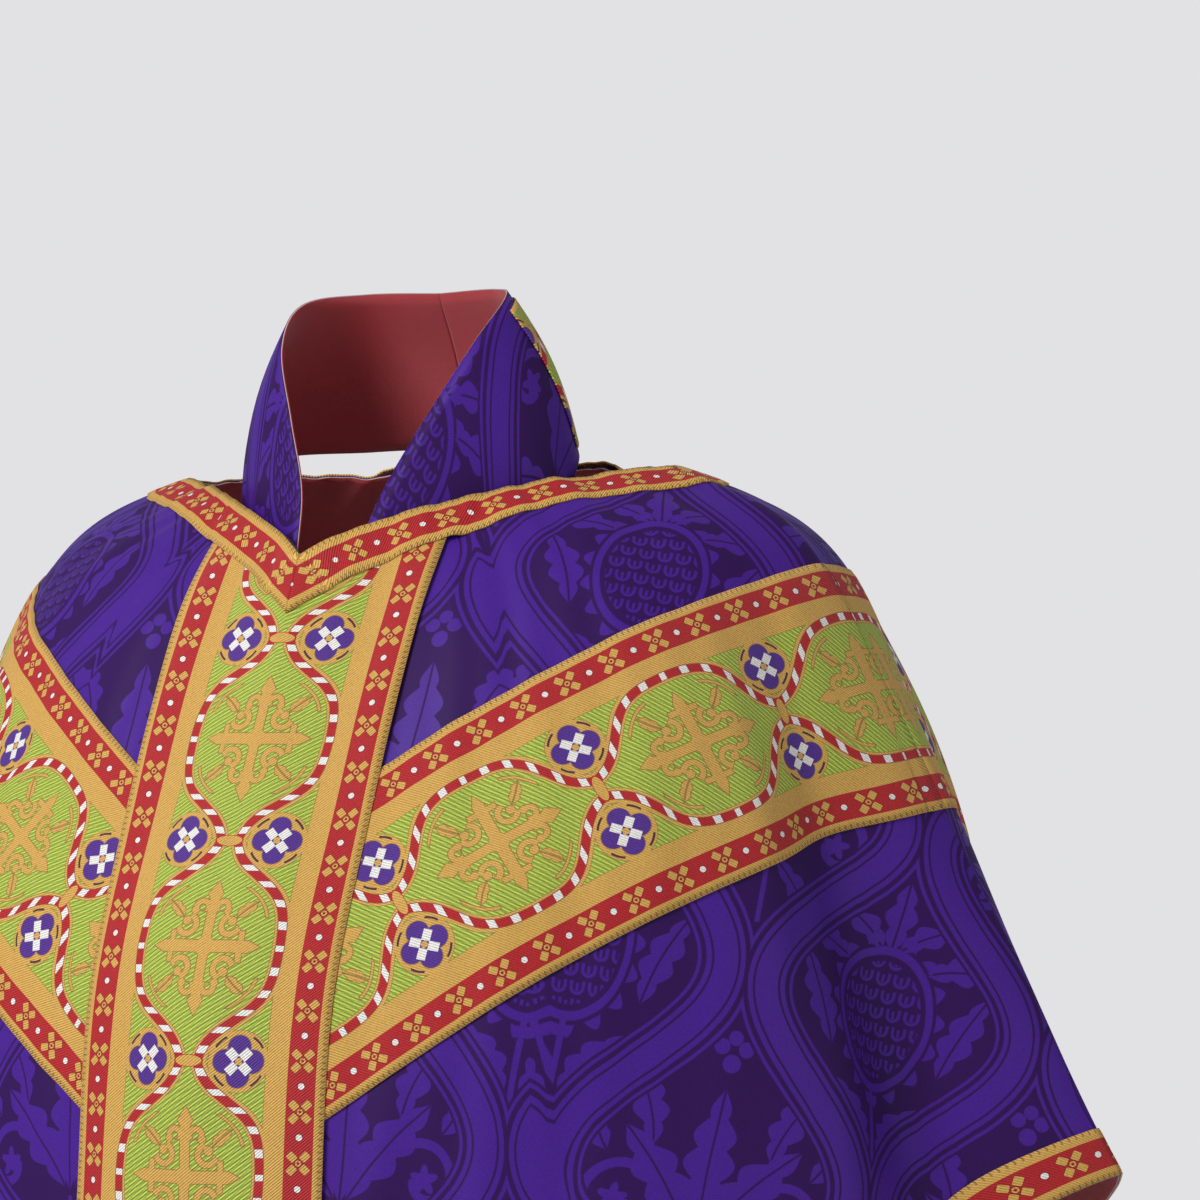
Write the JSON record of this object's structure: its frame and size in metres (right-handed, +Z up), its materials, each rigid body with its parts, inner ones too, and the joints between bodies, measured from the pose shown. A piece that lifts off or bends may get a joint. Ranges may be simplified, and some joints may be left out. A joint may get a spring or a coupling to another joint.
{
  "type": "chasuble",
  "caption": "Gothic chasuble of purple damask with woven pillar and arm orphreys, braided V neck and hem, lined, and the matching stole worn under it.",
  "frame": {"origin": "midway between the two ends of the neckline on the shoulder line, where the garment rests on the wearer's shoulders", "axes": "+Z up, -Y towards the front of the wearer, +X towards the wearer's left"},
  "size_m": [0.8138, 0.5628, 1.2425],
  "materials": {
    "damask": "satin figure on a matt ground",
    "stole_damask": "satin figure on a matt ground",
    "orphrey": "woven twill brocade, slightly glossy threads",
    "galloon": "woven twill braid, slightly glossy threads",
    "lining": "soft sheen",
    "interlining": "matt"
  },
  "bodies": {
    "root": {"back_left_arm_orphrey": "orphrey", "back_left_interlining": "interlining", "back_left_lining": "lining", "back_left_panel": "damask", "back_pillar_orphrey": "orphrey", "back_right_arm_orphrey": "orphrey", "back_right_interlining": "interlining", "back_right_lining": "lining", "back_right_panel": "damask", "front_left_arm_orphrey": "orphrey", "front_left_interlining": "interlining", "front_left_lining": "lining", "front_left_panel": "damask", "front_pillar_orphrey": "orphrey", "front_right_arm_orphrey": "orphrey", "front_right_interlining": "interlining", "front_right_lining": "lining", "front_right_panel": "damask", "hem_galloon_back_left": "galloon", "hem_galloon_back_right": "galloon", "hem_galloon_front_left": "galloon", "hem_galloon_front_right": "galloon", "neck_galloon_back_left": "galloon", "neck_galloon_back_right": "galloon", "neck_galloon_front_left": "galloon", "neck_galloon_front_right": "galloon", "stole_left": "stole_damask", "stole_left_interlining": "interlining", "stole_left_lining": "lining", "stole_neck_orphrey": "orphrey", "stole_right": "stole_damask", "stole_right_interlining": "interlining", "stole_right_lining": "lining"}
  },
  "joints": []
}
